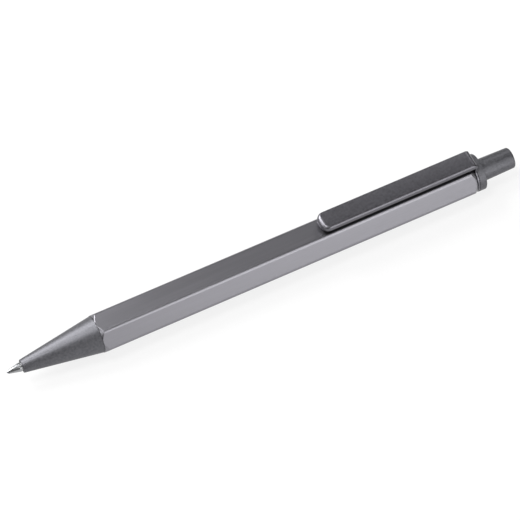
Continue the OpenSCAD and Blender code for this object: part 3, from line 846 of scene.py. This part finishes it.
def spring_surface():
    """Centre: (x, R sin t, R cos t) with x rising evenly; each ring is a circle across the path."""
    count = SPRING_TURNS * RINGS_PER_TURN + 1
    t = np.linspace(0, 2 * math.pi * SPRING_TURNS, count)
    coil = (SPRING_HIGH.z - SPRING_LOW.z) / 2 - WIRE_RADIUS
    x = np.linspace(SPRING_LOW.x + WIRE_RADIUS, SPRING_HIGH.x - WIRE_RADIUS, count)
    centre = np.stack([x, coil * np.sin(t), AXIS_Z + coil * np.cos(t)], -1)
    outward = np.stack([np.zeros(count), np.sin(t), np.cos(t)], -1)
    path = np.gradient(centre, axis=0)
    path /= np.linalg.norm(path, axis=1)[:, None]
    beside = np.cross(path, outward)
    side = np.linspace(0, 2 * math.pi, WIRE_SIDES, endpoint=False)[None, :, None]
    ring = np.cos(side) * outward[:, None] + np.sin(side) * beside[:, None]
    points = centre[:, None] + ring * WIRE_RADIUS
    first = np.repeat(centre[:1, None], WIRE_SIDES, axis=1)
    last = np.repeat(centre[-1:, None], WIRE_SIDES, axis=1)
    return np.concatenate([first, points, last])


SPRING_WIRE = plain_finish("spring_wire_steel", "#b4b7bd", 1.0, 0.22, 0.2 * MM)
spring_points = spring_surface()
spring_piece = make_piece("spring_coil", spring_points,
                          grid_faces(len(spring_points), WIRE_SIDES, False), SPRING_WIRE)
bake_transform(spring_piece)
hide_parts("refill_spring")

# %% [markdown]
# The stage is a plain white floor under soft studio lamps. The camera, and anything that
# mirrors the room, sees the floor as white, and part of its own shading stays, so the pen keeps
# its soft shadow.

# %% Floor
FLOOR_SIZE = 4.0
PLAIN_WHITE_SHARE = 0.8


def floor_finish():
    """White card: a matt surface mixed with plain white for camera, glossy and glass rays."""
    material, tree = new_material("white_card")
    rays = add_node(tree, "ShaderNodeLightPath")
    seen = add_node(tree, "ShaderNodeMath", {
        0: rays.outputs["Is Camera Ray"], 1: rays.outputs["Is Glossy Ray"],
    }, operation="MAXIMUM")
    seen = add_node(tree, "ShaderNodeMath", {
        0: seen.outputs[0], 1: rays.outputs["Is Transmission Ray"],
    }, operation="MAXIMUM")
    share = add_node(tree, "ShaderNodeMath", {
        0: seen.outputs[0], 1: PLAIN_WHITE_SHARE,
    }, operation="MULTIPLY")
    matt = add_node(tree, "ShaderNodeBsdfDiffuse", {"Color": linear("#f4f4f4")})
    white = add_node(tree, "ShaderNodeEmission", {"Color": (1, 1, 1, 1), "Strength": 1.0})
    close_material(tree, add_node(tree, "ShaderNodeMixShader", {
        0: share.outputs[0], 1: matt.outputs[0], 2: white.outputs[0],
    }))
    return material


floor_corners = np.array([(-1, -1, 0), (1, -1, 0), (1, 1, 0), (-1, 1, 0)]) * FLOOR_SIZE / 2
floor_mesh = bpy.data.meshes.new("floor")
floor_mesh.from_pydata(floor_corners.tolist(), [], [(0, 1, 2, 3)])
floor_mesh.materials.append(floor_finish())
floor = bpy.data.objects.new("floor", floor_mesh)
bpy.context.scene.collection.objects.link(floor)
print("floor:", FLOOR_SIZE, "m square")

# %% [markdown]
# Satin metal is mostly a picture of its lamps, so the lamps are placed by what each face has to
# mirror. A large soft box behind and to the left, and one above the nose, lay the broad band
# along the nose and let the barrel's upper flat fade from left to right. Two boxes low at the
# front light the flat beside it, and a higher one makes the ridge between them the brightest
# line. Two boxes at the left are mirrored only by what faces that way: the clip's rounded front
# end and the barrel's front chamfers. The last, behind and to the right, lights the button's
# round. Together with the room they light a white card on the floor to about 1.3, so it stays
# plain white, and a satin grey comes out about as light as it is written.

# %% Lamps and room
NOSE_SIDE, MIDDLE, BUTTON_SIDE = (-0.05, 0, 0.005), (0, 0, 0.005), (0.06, 0, 0.005)
ROOM_LIGHT = 0.2


def soft_box(name, place, aim, width, height, watts):
    """An area lamp at a place, in metres, that faces an aim point on the pen."""
    data = bpy.data.lights.new(name, "AREA")
    data.shape, data.size, data.size_y, data.energy = "RECTANGLE", width, height, watts
    lamp = bpy.data.objects.new(name, data)
    bpy.context.scene.collection.objects.link(lamp)
    lamp.location = place
    lamp.rotation_mode = "QUATERNION"
    lamp.rotation_quaternion = (Vector(place) - Vector(aim)).to_track_quat("Z", "Y")
    print(name, "watts:", watts)


soft_box("box_above_left", (-0.12, 0.04, 0.50), NOSE_SIDE, 0.18, 0.16, 1.0)
soft_box("box_behind_left", (-0.165, 0.365, 0.35), NOSE_SIDE, 0.20, 0.32, 2.6)
soft_box("box_low_left", (-0.48, 0.24, 0.38), MIDDLE, 0.25, 0.25, 0.6)
soft_box("box_left", (-0.50, -0.14, 0.30), NOSE_SIDE, 0.20, 0.20, 0.35)
soft_box("box_low_front", (0.25, -0.50, 0.12), MIDDLE, 0.40, 0.20, 0.50)
soft_box("box_front", (0.10, -0.50, 0.20), MIDDLE, 0.30, 0.30, 0.50)
soft_box("box_high_front", (0.20, -0.35, 0.42), MIDDLE, 0.30, 0.20, 0.57)
soft_box("box_back_right", (0.40, 0.40, 0.40), BUTTON_SIDE, 0.25, 0.25, 0.53)

world = bpy.data.worlds.new("room")
world.use_nodes = True
world.node_tree.nodes.clear()
background = add_node(world.node_tree, "ShaderNodeBackground", {
    "Color": (1, 1, 1, 1), "Strength": ROOM_LIGHT,
})
add_node(world.node_tree, "ShaderNodeOutputWorld", {"Surface": background.outputs[0]})
bpy.context.scene.world = world

# %% [markdown]
# Last, the picture is shown with the Standard view transform, so a colour comes out as it was
# computed. A finish adds no size to a real pen.

# %% Finish
bpy.context.scene.view_settings.view_transform = "Standard"
